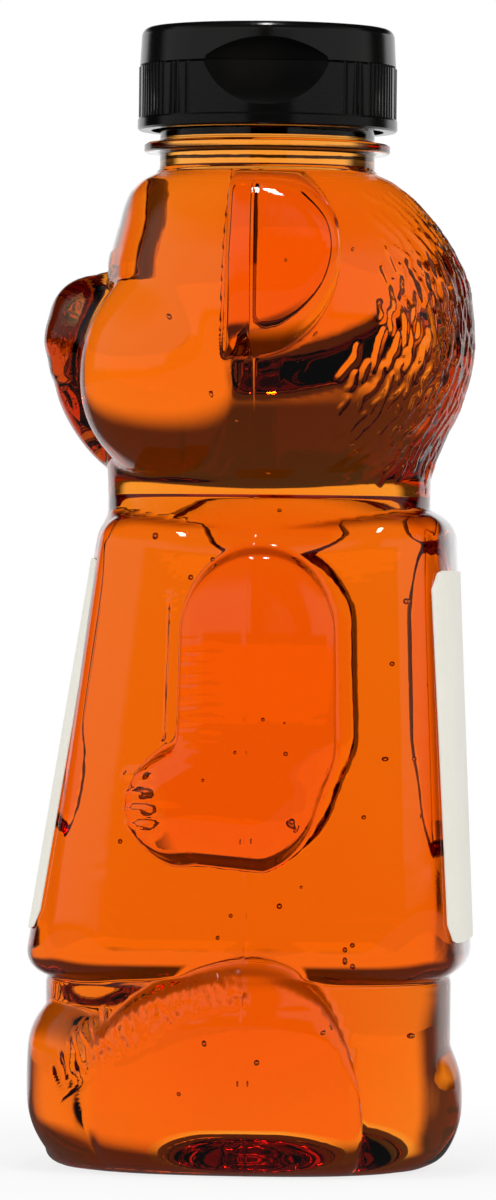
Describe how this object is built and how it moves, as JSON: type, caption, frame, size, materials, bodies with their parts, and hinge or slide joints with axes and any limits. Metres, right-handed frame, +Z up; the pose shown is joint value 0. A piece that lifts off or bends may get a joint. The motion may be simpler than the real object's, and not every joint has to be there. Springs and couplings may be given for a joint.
{
  "type": "honey bear bottle",
  "caption": "Clear squeeze bottle for honey in the shape of a seated bear, with a screw cap whose lid flips open over a pouring spout.",
  "frame": {"origin": "on the neck's axis, in the plane that the bottle stands on", "axes": "+Z up along the neck's axis, the bear faces -Y, and its left side is +X"},
  "size_m": [0.0692, 0.0715, 0.1848],
  "materials": {
    "clear_plastic": "clear, glossy, blow moulded",
    "honey": "clear amber liquid",
    "seal_foil": "foil-faced foam",
    "cap_plastic": "gloss black, injection moulded",
    "label_film": "bare satin label"
  },
  "bodies": {
    "bottle": {"bottle": "clear_plastic", "honey": "honey", "front_label": "label_film", "back_label": "label_film"},
    "seal": {"seal_liner": "seal_foil"},
    "cap": {"cap_base": "cap_plastic", "hinge_strap": "cap_plastic"},
    "lid": {"flip_lid": "cap_plastic"}
  },
  "joints": [
    {"name": "cap_rise", "type": "slide", "parent": "bottle", "child": "seal", "axis": [0, 0, 1], "range_m": [0, 0.00472]},
    {"name": "cap_turn", "type": "hinge", "parent": "seal", "child": "cap", "pos_m": [0, 0, 0.17], "axis": [0, 0, 1], "range_deg": [0, 400]},
    {"name": "lid_flip", "type": "hinge", "parent": "cap", "child": "lid", "pos_m": [-0.02029, -0.00124, 0.17865], "axis": [0.061, -0.9981, 0], "range_deg": [0, 160], "deforming": ["hinge_strap"]}
  ],
  "couplings": [
    {"joint": "cap_rise", "follows": "cap_turn", "m_per_rad": 0.0006737}
  ]
}
